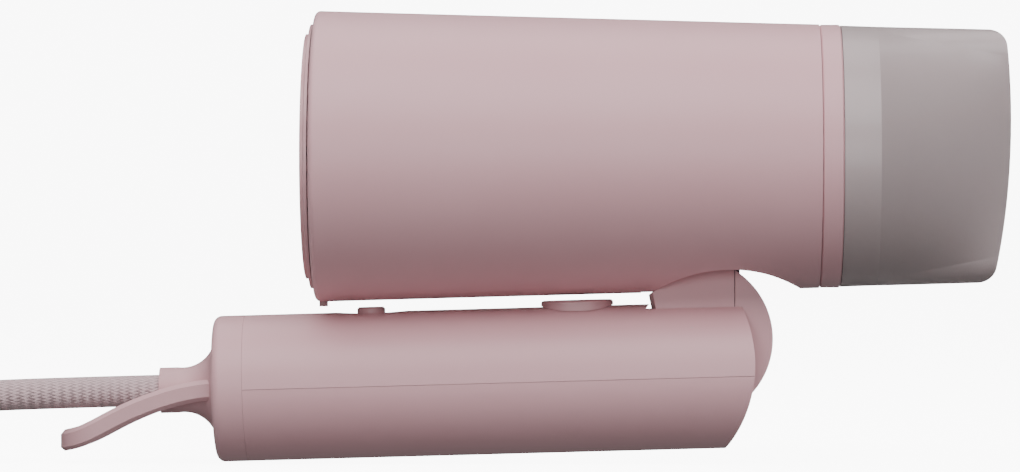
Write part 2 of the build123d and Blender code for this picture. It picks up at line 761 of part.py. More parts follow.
# ---- Hanging loop: a flat U whose two arms pass beside the cord's sleeve and fasten in the end cap
loop_end_x = hinge_x - loop_reach
with BuildPart() as hanging_loop:
    with BuildSketch(handle_side):
        with BuildLine():
            Spline(
                (-handle_length - 0.05, 0.0),
                (-133.0, -2.4),
                (-144.5, -6.9),
                (-152.5, -10.6),
                (-165.0, -13.2),
                tangents=[(-1, -0.02), (-1, -0.25)],
            )
        trace(line_width=loop_depth)
        with Locations((-handle_length - 0.05 - wide / 2, 0)):
            Rectangle(wide, wide, mode=Mode.INTERSECT)
    extrude(amount=wide, both=True)
    with BuildSketch(Plane.XY):
        with Locations((loop_end_x + loop_half_width + 40, 0)):
            Rectangle(80, 2 * loop_half_width)
        with Locations((loop_end_x + loop_half_width, 0)):
            Circle(loop_half_width)
        with Locations((loop_end_x + loop_half_width + 40, 0)):
            Rectangle(80, 2 * loop_gap_half_width, mode=Mode.SUBTRACT)
        with Locations((loop_end_x + loop_half_width, 0)):
            Circle(loop_gap_half_width, mode=Mode.SUBTRACT)
    extrude(amount=80, mode=Mode.INTERSECT)
    chamfer(hanging_loop.edges().filter_by(lambda e: e.length > 6), 1.0)
hanging_loop.part.label = "hanging_loop"
export_step(hanging_loop.part, "parts/hanging_loop.step")

# ---- Cord sleeve: a soft trumpet on the end cap that runs out into a straight collar round the cord
sleeve_end = -handle_length - sleeve_length
with BuildPart() as cord_sleeve:
    with BuildSketch(handle_side):
        with BuildLine():
            Line((-handle_length - 0.05, 0), (sleeve_end, 0))
            Line((sleeve_end, 0), (sleeve_end, sleeve_radius))
            Line((sleeve_end, sleeve_radius), (-handle_length - flare_length, sleeve_radius))
            ThreePointArc(
                (-handle_length - flare_length, sleeve_radius),
                (-handle_length - 0.3 * flare_length, sleeve_radius + 1.9),
                (-handle_length - 0.05, flare_radius),
            )
            Line((-handle_length - 0.05, flare_radius), (-handle_length - 0.05, 0))
        make_face()
    revolve(axis=handle_axis)
    with BuildSketch(handle_section(-handle_length - 0.1)):
        Circle(cord_radius + 2.0)
    extrude(amount=6)
    add(hanging_loop.part, mode=Mode.SUBTRACT)
    with BuildSketch(handle_section(sleeve_end - 1)):
        Circle(cord_radius + pin_gap)
    extrude(amount=40, mode=Mode.SUBTRACT)
cord_sleeve.part.label = "cord_sleeve"
export_step(cord_sleeve.part, "parts/cord_sleeve.step")

# ---- Cord clamp: a bar over the cord's end inside the handle, with its two screws
clamp_place = -handle_length + 15.0
with BuildPart() as cord_clamp:
    with BuildSketch(handle_section(clamp_place)):
        Rectangle(24, 10)
        Circle(cord_radius, mode=Mode.SUBTRACT)
        with Locations((0, -4)):
            Rectangle(2 * cord_radius, 8, mode=Mode.SUBTRACT)
    extrude(amount=6)
cord_clamp.part.label = "cord_clamp"
export_step(cord_clamp.part, "parts/cord_clamp.step")

with BuildPart() as clamp_screws:
    with BuildSketch(handle_level(clamp_place + 3, 5)):
        with Locations((0, 8), (0, -8)):
            Circle(2.4)
    extrude(amount=1.6)
clamp_screws.part.label = "clamp_screws"
export_step(clamp_screws.part, "parts/clamp_screws.step")

# ---- Shell screws: their heads under the posts of the lower shell
with BuildPart() as shell_screws:
    for place, reach in post_places:
        with BuildSketch(handle_level(place, parting_groove)):
            with Locations((0, reach), (0, -reach)):
                Circle(1.5)
        extrude(amount=3)
shell_screws.part.label = "shell_screws"
export_step(shell_screws.part, "parts/shell_screws.step")

# ---- Switch board with the slide switch, the cool-shot switch, a capacitor and the supply leads
board_start = -96.0
board_end = -22.5
board_top = board_height + board_thickness
with BuildPart() as switch_board:
    with BuildSketch(handle_level((board_start + board_end) / 2, board_height)):
        RectangleRounded(board_end - board_start, 22.0, 1.5)
    extrude(amount=board_thickness)
switch_board.part.label = "switch_board"
export_step(switch_board.part, "parts/switch_board.step")

switch_height = 4.6
with BuildPart() as slide_switch:
    with BuildSketch(handle_level(slider_slot_place - 2.0, board_top)):
        Rectangle(14.0, 12.0)
    extrude(amount=switch_height)
    with BuildSketch(handle_level(slider_slot_place, board_top + 1.6)):
        Rectangle(slider_stem + slider_travel + 0.6, 4.1)
    extrude(amount=switch_height, mode=Mode.SUBTRACT)
slide_switch.part.label = "slide_switch"
export_step(slide_switch.part, "parts/slide_switch.step")

with BuildPart() as cool_switch:
    with BuildSketch(handle_level(-button_place, board_top)):
        Rectangle(7.4, 7.4)
    extrude(amount=3.4)
cool_switch.part.label = "cool_switch"
export_step(cool_switch.part, "parts/cool_switch.step")

with BuildPart() as capacitor:
    with BuildSketch(handle_level(-60, board_height)):
        Rectangle(14, 6)
    extrude(amount=-8)
capacitor.part.label = "capacitor"
export_step(capacitor.part, "parts/capacitor.step")

with BuildPart() as supply_leads:
    for side in (-1, 1):
        with BuildSketch(handle_side.offset(side * 1.6)):
            with BuildLine():
                FilletPolyline(
                    (clamp_place + 8.1, 0),
                    (clamp_place + 13, 0),
                    (clamp_place + 18, 2.6),
                    (clamp_place + 26, 2.6),
                    radius=4,
                )
            trace(line_width=1.6)
        extrude(amount=0.8, both=True)
supply_leads.part.label = "supply_leads"
export_step(supply_leads.part, "parts/supply_leads.step")

# ---- Speed slider: an oval cap saddled on the handle, with a stem down into the slide switch
with BuildPart() as speed_slider:
    with BuildSketch(handle_level(-slider_place, 0)):
        SlotOverall(slider_length, slider_width)
    extrude(amount=handle_radius + slider_top)
    fillet(speed_slider.faces().sort_by(Axis.Z)[-1].edges(), 0.7)
    with BuildSketch(handle_section(-slider_place - slider_length)):
        Circle(handle_radius + 0.2)
    extrude(amount=2 * slider_length, mode=Mode.SUBTRACT)
    with BuildSketch(handle_level(-slider_place - slider_stem_back, board_top + 2.0)):
        Rectangle(slider_stem, 3.5)
    extrude(amount=handle_radius + 0.9 - board_top - 2.0)
speed_slider.part.label = "speed_slider"
export_step(speed_slider.part, "parts/speed_slider.step")

# ---- Cool-shot button with its flange under the shell, its return spring and its plunger
flange_top = inner_handle_radius - 1.3
with BuildPart() as cool_button:
    with BuildSketch(handle_level(-button_place, flange_top - 1.8)):
        Circle(button_radius)
    extrude(amount=handle_radius + button_top - flange_top + 1.8)
    chamfer(cool_button.edges().filter_by(GeomType.CIRCLE).sort_by(Axis.Z)[-1], 0.45)
    with BuildSketch(handle_level(-button_place, flange_top - 1.8)):
        Circle(button_radius + 1.0)
    extrude(amount=1.8)
    with BuildSketch(handle_level(-button_place, board_top + 3.4 + button_travel + 0.1)):
        Circle(1.5)
    extrude(amount=flange_top - board_top - 3.4 - button_travel - 1.0)
cool_button.part.label = "cool_button"
export_step(cool_button.part, "parts/cool_button.step")

with BuildPart() as button_spring:
    with BuildSketch(handle_level(-button_place, board_top + 3.45)):
        Circle(3.0)
        Circle(2.2, mode=Mode.SUBTRACT)
    extrude(amount=flange_top - 1.8 - board_top - 3.5)
button_spring.part.label = "button_spring"
export_step(button_spring.part, "parts/button_spring.step")

# ---- Cord: its end in the sleeve, a tube to the coil, the coil, a tube to the plug, and the plug
cord_start = -handle_length - sleeve_length + 4.0
with BuildPart() as cord_end:
    with BuildSketch(handle_section(cord_start)):
        Circle(cord_radius)
    extrude(amount=clamp_place + 8.0 - cord_start)
cord_end.part.label = "cord_end"
export_step(cord_end.part, "parts/cord_end.step")


def path_radii(points):
    """The largest smooth radius at each inner point: 0.45 of the shorter run over the tangent of half the turn."""
    radii = []
    for before, here, after in zip(points, points[1:], points[2:]):
        back = Vector(*here) - Vector(*before)
        ahead = Vector(*after) - Vector(*here)
        turn = back.get_angle(ahead)
        radii.append(0.45 * min(back.length, ahead.length) / tan(radians(turn / 2)))
    return radii


cord_points = [
    (-89.64, 0.0, 17.92),
    (-111.9, 0.0, 17.35),
    (-139.0, 0.2, 16.4),
    (-158.6, 9.4, 14.6),
    (-171.2, 26.2, 12.6),
]
with BuildPart() as cord_tube:
    with BuildLine() as cord_path:
        FilletPolyline(*cord_points, radius=path_radii(cord_points))
    with BuildSketch(Plane(origin=cord_points[0], z_dir=cord_path.line % 0)):
        Circle(cord_radius)
    sweep()
cord_tube.part.label = "cord_tube"
export_step(cord_tube.part, "parts/cord_tube.step")

# the put-away length: a neat round coil, standing for turns beside and on each other
coil_width = 2 * cord_radius * coil_columns
with BuildPart() as cord_coil:
    with BuildSketch():
        with Locations(coil_centre):
            Circle(coil_middle_radius + coil_width / 2)
            Circle(coil_middle_radius - coil_width / 2, mode=Mode.SUBTRACT)
    extrude(amount=2 * cord_radius * coil_layers)
    fillet(cord_coil.edges().filter_by(GeomType.CIRCLE), cord_radius * 0.9)
cord_coil.part.label = "cord_coil"
export_step(cord_coil.part, "parts/cord_coil.step")

tail_points = [
    (-206.0, 32.6, 3.9),
    (-221.0, 28.6, 4.2),
    (-235.3, 23.4, 5.2),
    (-249.3, 17.8, 6.3),
]
with BuildPart() as cord_tail:
    with BuildLine() as tail_path:
        FilletPolyline(*tail_points, radius=path_radii(tail_points))
    with BuildSketch(Plane(origin=tail_points[0], z_dir=tail_path.line % 0)):
        Circle(cord_radius)
    sweep()
cord_tail.part.label = "cord_tail"
export_step(cord_tail.part, "parts/cord_tail.step")

# ---- Plug: a two-pin contour plug lying flat beside the coil
plug_x = cos(radians(plug_heading))
plug_y = sin(radians(plug_heading))
plug_start = Vector(tail_points[-1][0] - 0.1, tail_points[-1][1], plug_thickness / 2)
plug_across = Vector(-plug_y, plug_x, 0)


def plug_section(distance):
    """The plane across the plug, that far from the end of its cord."""
    return Plane(
        origin=(plug_start.X + distance * plug_x, plug_start.Y + distance * plug_y, plug_start.Z),
        x_dir=plug_across,
        z_dir=(plug_x, plug_y, 0),
    )


with BuildPart() as plug_relief:
    with BuildSketch(plug_section(-1.5)):
        Circle(cord_radius + 1.0)
    with BuildSketch(plug_section(plug_relief_length)):
        Circle(plug_thickness / 2 - 0.5)
    loft()
    add(cord_tail.part, mode=Mode.SUBTRACT)
plug_relief.part.label = "plug_relief"
export_step(plug_relief.part, "parts/plug_relief.step")

with BuildPart() as plug_body:
    with BuildSketch(plug_section(plug_relief_length)):
        RectangleRounded(18.0, plug_thickness, 4.0)
    with BuildSketch(plug_section(plug_relief_length + 0.4 * plug_body_length)):
        RectangleRounded(plug_width, plug_thickness, 4.0)
    loft()
    with BuildSketch(plug_section(plug_relief_length + 0.4 * plug_body_length)):
        RectangleRounded(plug_width, plug_thickness, 4.0)
    extrude(amount=0.6 * plug_body_length)
plug_body.part.label = "plug_body"
export_step(plug_body.part, "parts/plug_body.step")

with BuildPart() as plug_pins:
    with BuildSketch(plug_section(plug_relief_length + plug_body_length)):
        with GridLocations(plug_pin_spacing, 1, 2, 1):
            Circle(plug_pin_radius)
    extrude(amount=plug_pin_length)
    chamfer(plug_pins.edges().filter_by(GeomType.CIRCLE).group_by(Axis((0, 0, 0), (plug_x, plug_y, 0)))[-1], 0.6)
plug_pins.part.label = "plug_pins"
export_step(plug_pins.part, "parts/plug_pins.step")
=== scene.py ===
"""The hair dryer's looks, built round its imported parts: row frame, metres, +X to the nozzle, +Z up."""

import math

import bpy
import numpy as np
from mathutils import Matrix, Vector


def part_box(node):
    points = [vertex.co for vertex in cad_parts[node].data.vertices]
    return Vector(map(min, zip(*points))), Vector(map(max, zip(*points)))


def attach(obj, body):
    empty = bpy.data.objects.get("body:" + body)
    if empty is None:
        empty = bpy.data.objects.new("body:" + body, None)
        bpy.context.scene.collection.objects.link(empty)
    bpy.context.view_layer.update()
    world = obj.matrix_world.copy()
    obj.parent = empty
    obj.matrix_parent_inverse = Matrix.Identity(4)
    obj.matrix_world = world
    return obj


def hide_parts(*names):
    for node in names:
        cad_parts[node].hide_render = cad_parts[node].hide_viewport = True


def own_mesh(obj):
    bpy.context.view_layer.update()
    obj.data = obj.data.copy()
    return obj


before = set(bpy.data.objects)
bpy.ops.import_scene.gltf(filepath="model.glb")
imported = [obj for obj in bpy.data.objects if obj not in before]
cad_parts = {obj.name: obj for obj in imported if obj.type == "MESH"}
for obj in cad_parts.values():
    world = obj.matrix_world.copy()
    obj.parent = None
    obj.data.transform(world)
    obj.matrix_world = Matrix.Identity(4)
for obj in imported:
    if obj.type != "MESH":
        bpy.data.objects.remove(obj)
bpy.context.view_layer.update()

# ---- Stage: a pale, self-lit floor that sweeps up into a round wall far off, and three softboxes: the key above and in front, a low one in front and one on top behind.
# # The sweep glows bright but throws no light back up, so undersides stay as dark as they are in life.


def to_linear(code):
    """Linear RGBA of an sRGB hex colour."""
    c = np.array([int(code[i : i + 2], 16) for i in (1, 3, 5)]) / 255
    c = np.where(c <= 0.04045, c / 12.92, ((c + 0.055) / 1.055) ** 2.4)
    return (*[float(v) for v in c], 1.0)


def add(tree, kind, *inputs, **settings):
    """Adds a shader node. Inputs go in order to its sockets: a socket is linked, None is left, else it's a value."""
    node = tree.nodes.new("ShaderNode" + kind)
    for key, value in settings.items():
        setattr(node, key, value)
    for socket, value in zip(node.inputs, inputs):
        if isinstance(value, bpy.types.NodeSocket):
            tree.links.new(value, socket)
        elif value is not None:
            socket.default_value = value
    return node.outputs[0]


def finish_on(name, nodes, roughness, **values):
    """A new material with a Principled shader, put on these CAD nodes. Returns its tree, shader and coordinates."""
    material = bpy.data.materials.new(name)
    material.use_nodes = True
    tree = material.node_tree
    shader = tree.nodes["Principled BSDF"]
    shader.inputs["Roughness"].default_value = roughness
    for key, value in values.items():
        shader.inputs[key.replace("_", " ")].default_value = value
    for node in nodes:
        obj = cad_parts[node]
        obj.data.materials.clear()
        obj.data.materials.append(material)
    return tree, shader, tree.nodes.new("ShaderNodeTexCoord").outputs["Object"], material


def two_tone(tree, shader, factor, low, high):
    """Base colour that runs from low to high with factor."""
    mix = tree.nodes.new("ShaderNodeMix")
    mix.data_type = "RGBA"
    tree.links.new(factor, mix.inputs["Factor"])
    mix.inputs["A"].default_value = to_linear(low)
    mix.inputs["B"].default_value = to_linear(high)
    tree.links.new(mix.outputs["Result"], shader.inputs["Base Color"])


def relief(tree, shader, height, depth):
    """Bump from a height of 0 to 1 that stands for depth metres."""
    bump = add(tree, "Bump", 1.0, depth)
    tree.links.new(height, bump.node.inputs["Height"])
    tree.links.new(bump, shader.inputs["Normal"])


def ranged(tree, value, low, high):
    """Value from 0...1 to low...high."""
    return add(tree, "MapRange", value, 0.0, 1.0, low, high)


bend = np.linspace(0.1, np.pi / 2, 16)
sweep_r = np.concatenate([np.linspace(0.0, 6, 9), 6 + 2 * np.sin(bend), [8.0]])
sweep_z = np.concatenate([np.zeros(9), 2 - 2 * np.cos(bend), [9.0]])
around = np.linspace(0, 2 * np.pi, 65)
sweep_points = np.stack([np.outer(np.cos(around), sweep_r), np.outer(np.sin(around), sweep_r), np.tile(sweep_z - 0.0002, (65, 1))], axis=-1)
rows, columns_across = sweep_points.shape[:2]
corner = (np.arange(rows - 1)[:, None] * columns_across + np.arange(columns_across - 1)).ravel()
faces = np.stack([corner, corner + columns_across, corner + columns_across + 1, corner + 1], axis=1)
sweep_mesh = bpy.data.meshes.new("sweep")
sweep_mesh.from_pydata(sweep_points.reshape(-1, 3).tolist(), [], faces.tolist())
sweep_mesh.shade_smooth()
sweep = bpy.data.objects.new("sweep", sweep_mesh)
bpy.context.collection.objects.link(sweep)
sweep.visible_diffuse = False
sweep.visible_glossy = False
sweep.visible_transmission = False
paper = bpy.data.materials.new("paper")
paper.use_nodes = True
paper_shader = paper.node_tree.nodes["Principled BSDF"]
paper_coords = add(paper.node_tree, "TexCoord").node.outputs["Object"]
paper_grain = add(paper.node_tree, "TexNoise", paper_coords, None, 400.0, 3.0)
two_tone(paper.node_tree, paper_shader, paper_grain, "#F4F4F4", "#FAFAFA")
paper_shader.inputs["Roughness"].default_value = 0.9
paper_shader.inputs["Emission Color"].default_value = (1, 1, 1, 1)
paper_shader.inputs["Emission Strength"].default_value = 9.0
sweep_mesh.materials.append(paper)

world = bpy.data.worlds.new("studio")
world.use_nodes = True
world.node_tree.nodes["Background"].inputs["Color"].default_value = (1, 1, 1, 1)
world.node_tree.nodes["Background"].inputs["Strength"].default_value = 0.16
bpy.context.scene.world = world


def softbox(name, place, target, width, height, power):
    """A rectangular light at place, facing target."""
    data = bpy.data.lights.new(name, "AREA")
    data.shape = "RECTANGLE"
    data.size, data.size_y, data.energy = width, height, power
    lamp = bpy.data.objects.new(name, data)
    lamp.location = place
    aim = bpy.context.scene.cursor.location.copy()
    aim[:] = [t - p for t, p in zip(target, place)]
    lamp.rotation_euler = aim.to_track_quat("-Z", "Y").to_euler()
    bpy.context.collection.objects.link(lamp)


softbox("key", (0.0, -0.75, 0.95), (0.0, 0.0, 0.05), 1.5, 0.9, 17.0)
softbox("front", (0.0, -1.9, 0.12), (0.0, 0.0, 0.06), 1.2, 0.7, 13.0)
softbox("top", (0.0, 0.25, 1.1), (0.0, 0.0, 0.05), 1.2, 0.7, 6.0)

turn = math.radians(1.4)
camera_data = bpy.data.cameras.new("camera")
camera_data.lens, camera_data.sensor_width = 186.4, 36
camera = bpy.data.objects.new("camera", camera_data)
camera.location = (-0.00598 + 1.32 * math.sin(turn), -1.32 * math.cos(turn), 0.05645)
camera.rotation_euler = (math.pi / 2, 0, turn)
bpy.context.collection.objects.link(camera)
bpy.context.scene.camera = camera

# ---- Pink shells: moulded ABS under a soft-touch lacquer. The lacquer has a very fine orange peel,
# a little sheen, and shows slightly uneven where it's thin.
pink_nodes = ["barrel_shell", "front_ring", "handle_upper_shell", "handle_lower_shell", "handle_end_cap", "neck_cover", "nose_cover"]
tree, shader, coords, pink = finish_on("soft_pink", pink_nodes, 0.42, IOR=1.49, Sheen_Weight=0.12)
cloud = add(tree, "TexNoise", coords, None, 28.0, 3.0)
two_tone(tree, shader, cloud, "#DDA9B0", "#E1B1B7")
peel = add(tree, "TexNoise", coords, None, 2600.0, 2.0)
relief(tree, shader, peel, 0.000012)
tree.links.new(ranged(tree, add(tree, "TexNoise", coords, None, 60.0, 4.0), 0.36, 0.48), shader.inputs["Roughness"])

# ---- Rear cover: the same lacquer on a separate disc, a touch glossier, with turning marks from its mould.
tree, shader, coords, _ = finish_on("cover_pink", ["rear_cover"], 0.3, IOR=1.49, Sheen_Weight=0.08)
rings = add(tree, "TexWave", coords, 700.0, 0.3, wave_type="RINGS", rings_direction="X")
two_tone(tree, shader, add(tree, "TexNoise", coords, None, 35.0, 3.0), "#DAA7AD", "#DFB0B5")
relief(tree, shader, rings, 0.000008)

# ---- Slider and button: hard ABS keys, moulded in the same pink with a fine spark-eroded grain.
tree, shader, coords, _ = finish_on("control_pink", ["speed_slider", "cool_button"], 0.4, IOR=1.54)
grain = add(tree, "TexVoronoi", coords, None, 3800.0)
two_tone(tree, shader, add(tree, "TexNoise", coords, None, 90.0, 3.0), "#D09FA5", "#D7A8AD")
relief(tree, shader, grain, 0.00002)

# ---- Nozzle: injection-moulded polycarbonate with a frosted grain inside and out, tinted grey-mauve.
# It's held on the front ring's spigot by friction.
tree, shader, coords, _ = finish_on("frosted_plastic", ["nozzle"], 0.42, IOR=1.58, Transmission_Weight=0.42, Coat_Weight=0.15)
frost = add(tree, "TexNoise", coords, None, 3200.0, 3.0)
two_tone(tree, shader, add(tree, "TexNoise", coords, None, 45.0, 3.0), "#D6C4C5", "#DECECF")
relief(tree, shader, frost, 0.00003)
tree.links.new(ranged(tree, add(tree, "TexNoise", coords, None, 900.0, 2.0), 0.36, 0.5), shader.inputs["Roughness"])

# ---- Cord sleeve, hanging loop and plug relief: soft PVC moulded onto the cord, matt, with faint flow marks.
tree, shader, coords, _ = finish_on("soft_sleeve", ["cord_sleeve", "hanging_loop", "plug_relief"], 0.55, IOR=1.53)
flow = add(tree, "TexNoise", coords, None, 130.0, 5.0, 0.6)
two_tone(tree, shader, flow, "#D5A5AB", "#DAADB2")
relief(tree, shader, add(tree, "TexNoise", coords, None, 1900.0, 3.0), 0.00003)

# ---- Cord: a round three-core lead in a braided textile cover. It leaves the sleeve, swings to the coil,
# goes three turns in on the upper layer, drops, goes out again on the lower one and runs off to the plug.
cord_points = np.array([(-89.64, 0, 17.92), (-111.9, 0, 17.35), (-139, 0.2, 16.4), (-158.6, 9.4, 14.6), (-171.2, 26.2, 12.6)])
tail_points = np.array([(-206, 32.6, 3.9), (-221, 28.6, 4.2), (-235.3, 23.4, 5.2), (-249.3, 17.8, 6.3)])
coil_centre, columns, layers = (-198.0, -14.2), (46.8, 39.0, 31.2), (11.7, 3.9)
cord_diameter = 0.0078


def coil(start_angle):
    """Turns of cord: the radius steps one column along a smoothstep of the angle turned, and so does the height
    from the upper layer to the lower one. Angle in degrees, 24 points to a turn."""
    turned = np.arange(15.0, 1836.0, 15.0)
    step = lambda first, last: (lambda s: s * s * (3 - 2 * s))(np.clip((turned - first) / (last - first), 0, 1))
    pitch = columns[0] - columns[1]
    radius = columns[0] - pitch * (step(300, 360) + step(660, 720)) + pitch * (step(1124, 1184) + step(1484, 1544))
    height = layers[0] - (layers[0] - layers[1]) * step(1020, 1080)
    angle = np.radians(start_angle + turned)
    radius = radius / math.cos(math.radians(7.5)) ** 0.7
    return np.stack([coil_centre[0] + radius * np.cos(angle), coil_centre[1] + radius * np.sin(angle), height], axis=1)


inner_start = np.array([(-66.0, 0, 18.58)])
heading = math.radians(202)
into_plug = tail_points[-1] + np.array([(4 * math.cos(heading), 4 * math.sin(heading), 0.4)])
path = np.concatenate([inner_start, cord_points, coil(56.0), tail_points, into_plug]) / 1000
steps = np.linalg.norm(np.diff(path, axis=0), axis=1)
cord_data = bpy.data.curves.new("cord", "CURVE")
cord_data.dimensions = "3D"
spline = cord_data.splines.new("NURBS")
spline.points.add(len(path) - 1)
spline.points.foreach_set("co", np.column_stack([path, np.ones(len(path))]).ravel())
spline.order_u = 3
spline.use_endpoint_u = True
spline.resolution_u = 4
cord_data.bevel_depth = cord_diameter / 2
cord_data.bevel_resolution = 8
cord = bpy.data.objects.new("cord", cord_data)
bpy.context.collection.objects.link(cord)
tree, shader, coords, braid = finish_on("cord_textile", [], 0.8, IOR=1.5, Sheen_Weight=0.35)
cord_uv = add(tree, "TexCoord").node.outputs["UV"]
parts = add(tree, "SeparateXYZ", cord_uv).node.outputs
cord_length = float(steps.sum())
along = add(tree, "Math", parts[0], cord_length / 0.0011, operation="MULTIPLY")
around = add(tree, "Math", parts[1], 28.0, operation="MULTIPLY")
right = add(tree, "Math", along, around, operation="ADD")
left = add(tree, "Math", along, around, operation="SUBTRACT")
over = add(tree, "Math", add(tree, "Math", add(tree, "Math", right, operation="FLOOR"), add(tree, "Math", left, operation="FLOOR"), operation="ADD"), 2.0, operation="FLOORED_MODULO")
ridge = [add(tree, "Math", add(tree, "Math", add(tree, "Math", s, operation="FRACT"), math.pi, operation="MULTIPLY"), operation="SINE") for s in (right, left)]
choice = tree.nodes.new("ShaderNodeMix")
tree.links.new(over, choice.inputs["Factor"])
tree.links.new(ridge[0], choice.inputs["A"])
tree.links.new(ridge[1], choice.inputs["B"])
strand = choice.outputs["Result"]
fibre = add(tree, "TexNoise", coords, None, 5200.0, 4.0)
braid_height_and_groove_shade = add(tree, "Math", strand, add(tree, "Math", fibre, 0.35, operation="MULTIPLY"), operation="ADD")
# The braid's height also sets its colour, over a random fibre tone: the grooves between strands are painted shade and
# the strand crowns a painted highlight.
two_tone(tree, shader, braid_height_and_groove_shade, "#A4868B", "#DDBFC3")
relief(tree, shader, braid_height_and_groove_shade, 0.00016)
cord_data.materials.append(braid)
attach(cord, "handle")
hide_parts("cord_tube", "cord_coil", "cord_tail", "cord_end")

# ---- Plug: a two-pin contour plug, PVC moulded over its pins, satin with a sand-blasted mould's grain.
tree, shader, coords, _ = finish_on("plug_plastic", ["plug_body"], 0.45, IOR=1.53)
two_tone(tree, shader, add(tree, "TexNoise", coords, None, 110.0, 4.0), "#B08E92", "#BA999D")
relief(tree, shader, add(tree, "TexVoronoi", coords, None, 2400.0), 0.00003)
tree, shader, coords, _ = finish_on("plug_metal", ["plug_pins"], 0.24, Metallic=1.0)
drawn = add(tree, "TexWave", coords, 700.0, 4.0, 3.0, wave_type="BANDS", bands_direction="Z")
two_tone(tree, shader, drawn, "#C9C4B6", "#DAD6CC")
tree.links.new(ranged(tree, drawn, 0.18, 0.34), shader.inputs["Roughness"])

# ---- Dark inner mouldings: glass-filled nylon for what stands near the heat, with short fibres showing
# as faint streaks, moulded dull.
dark_nodes = ["rear_frame", "air_duct", "outlet_grille", "hinge_bracket", "cord_clamp", "slide_switch", "cool_switch"]
tree, shader, coords, _ = finish_on("dark_plastic", dark_nodes, 0.55, IOR=1.53)
streak = add(tree, "TexWave", coords, 240.0, 12.0, 3.0, 2.0, wave_type="BANDS", bands_direction="X")
two_tone(tree, shader, streak, "#2A2628", "#38333A")
relief(tree, shader, add(tree, "TexNoise", coords, None, 1700.0, 4.0), 0.00004)
tree, shader, coords, _ = finish_on("catch_plastic", ["cover_catch"], 0.48, IOR=1.53)
two_tone(tree, shader, add(tree, "TexNoise", coords, None, 300.0, 4.0), "#A88488", "#B59296")
relief(tree, shader, add(tree, "TexWave", coords, 900.0, 0.5, wave_type="BANDS", bands_direction="X"), 0.00006)

# ---- Fan: a moulded nylon impeller on the motor's shaft, with weld lines and the dust that it always carries.
tree, shader, coords, _ = finish_on("fan_plastic", ["fan"], 0.5, IOR=1.53)
dust = add(tree, "TexNoise", coords, None, 420.0, 6.0, 0.7)
two_tone(tree, shader, ranged(tree, dust, -0.2, 0.9), "#34343A", "#4E4D50")
relief(tree, shader, dust, 0.00004)

# ---- Motor: a deep-drawn plated steel can, its shaft ground bright. The can shows drawing lines along it.
tree, shader, coords, _ = finish_on("motor_steel", ["motor"], 0.35, Metallic=1.0)
lines = add(tree, "TexNoise", add(tree, "Mapping", coords, (0, 0, 0), (0, 0, 0), (30.0, 900.0, 900.0)), None, 1.0, 3.0)
two_tone(tree, shader, lines, "#9D9D9F", "#C4C4C6")
tree.links.new(ranged(tree, lines, 0.28, 0.46), shader.inputs["Roughness"])

# ---- Small metal: zinc-plated screws, hinge pin, shaft and the two heat guards.
small_nodes = ["motor_shaft", "bracket_screws", "clamp_screws", "shell_screws", "hinge_pin", "thermal_cutout", "thermal_fuse"]
tree, shader, coords, _ = finish_on("small_metal", small_nodes, 0.3, Metallic=1.0)
bloom = add(tree, "TexNoise", coords, None, 700.0, 5.0, 0.65)
two_tone(tree, shader, bloom, "#A7A8A6", "#D2D3D0")
tree.links.new(ranged(tree, bloom, 0.22, 0.42), shader.inputs["Roughness"])

# ---- Boards: green lacquered laminate with the weave of the glass cloth just showing through.
tree, shader, coords, _ = finish_on("circuit_board", ["motor_board", "switch_board"], 0.3, IOR=1.55, Coat_Weight=0.3)
weave = add(tree, "TexChecker", coords, None, None, 2500.0).node.outputs["Fac"]
two_tone(tree, shader, weave, "#1B5A35", "#23683F")
relief(tree, shader, weave, 0.00001)

# ---- Heater former: punched mica sheets and a rolled mica sleeve, pale gold and flaky.
tree, shader, coords, _ = finish_on("mica", ["mica_boards", "mica_sleeve"], 0.4, IOR=1.58)
flake = add(tree, "TexVoronoi", coords, None, 480.0, feature="SMOOTH_F1")
two_tone(tree, shader, flake, "#B9A483", "#DCCBAA")
relief(tree, shader, flake, 0.00006)

# ---- Heating wire: wound nichrome, blued by heat, bent round the mica cross in three rings.
low, high = [np.array(v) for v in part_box("heater_coils")]
heater_axis = (low + high) / 2
ring_size = (high[2] - low[2]) / 2


def wound_wire(name, centres, ring_radius, winding_radius, wire_radius, windings, sides=6, per_winding=12):
    """Rings of wound wire: a helix of winding_radius carried round a circle about X, and the wire's own round
    section swept along it, all as one grid of points per ring."""
    verts, quads = [], []
    for number, place in enumerate(centres):
        n = windings * per_winding
        t = np.linspace(0, 2 * np.pi, n, endpoint=False)
        w = t * windings
        out = np.stack([np.zeros(n), np.cos(t), np.sin(t)], axis=1)
        ahead = np.array([1.0, 0, 0])
        middle = (ring_radius + winding_radius * np.cos(w))[:, None] * out + (winding_radius * np.sin(w))[:, None] * ahead
        middle = middle + np.array([place, heater_axis[1], heater_axis[2]])
        along_wire = np.roll(middle, -1, axis=0) - np.roll(middle, 1, axis=0)
        along_wire /= np.linalg.norm(along_wire, axis=1, keepdims=True)
        first = np.cos(w)[:, None] * out + np.sin(w)[:, None] * ahead
        first -= (first * along_wire).sum(axis=1, keepdims=True) * along_wire
        first /= np.linalg.norm(first, axis=1, keepdims=True)
        second = np.cross(along_wire, first)
        s = np.linspace(0, 2 * np.pi, sides, endpoint=False)
        points = middle[:, None] + wire_radius * (np.cos(s)[None, :, None] * first[:, None] + np.sin(s)[None, :, None] * second[:, None])
        verts.append(points.reshape(-1, 3))
        i, j = [g.ravel() for g in np.meshgrid(np.arange(n), np.arange(sides), indexing="ij")]
        corners = [(i * sides + j), ((i + 1) % n * sides + j), ((i + 1) % n * sides + (j + 1) % sides), (i * sides + (j + 1) % sides)]
        quads.append(np.stack(corners, axis=1) + number * n * sides)
    mesh = bpy.data.meshes.new(name)
    mesh.from_pydata(np.concatenate(verts).tolist(), [], np.concatenate(quads).tolist())
    mesh.shade_smooth()
    obj = bpy.data.objects.new(name, mesh)
    bpy.context.collection.objects.link(obj)
    return obj


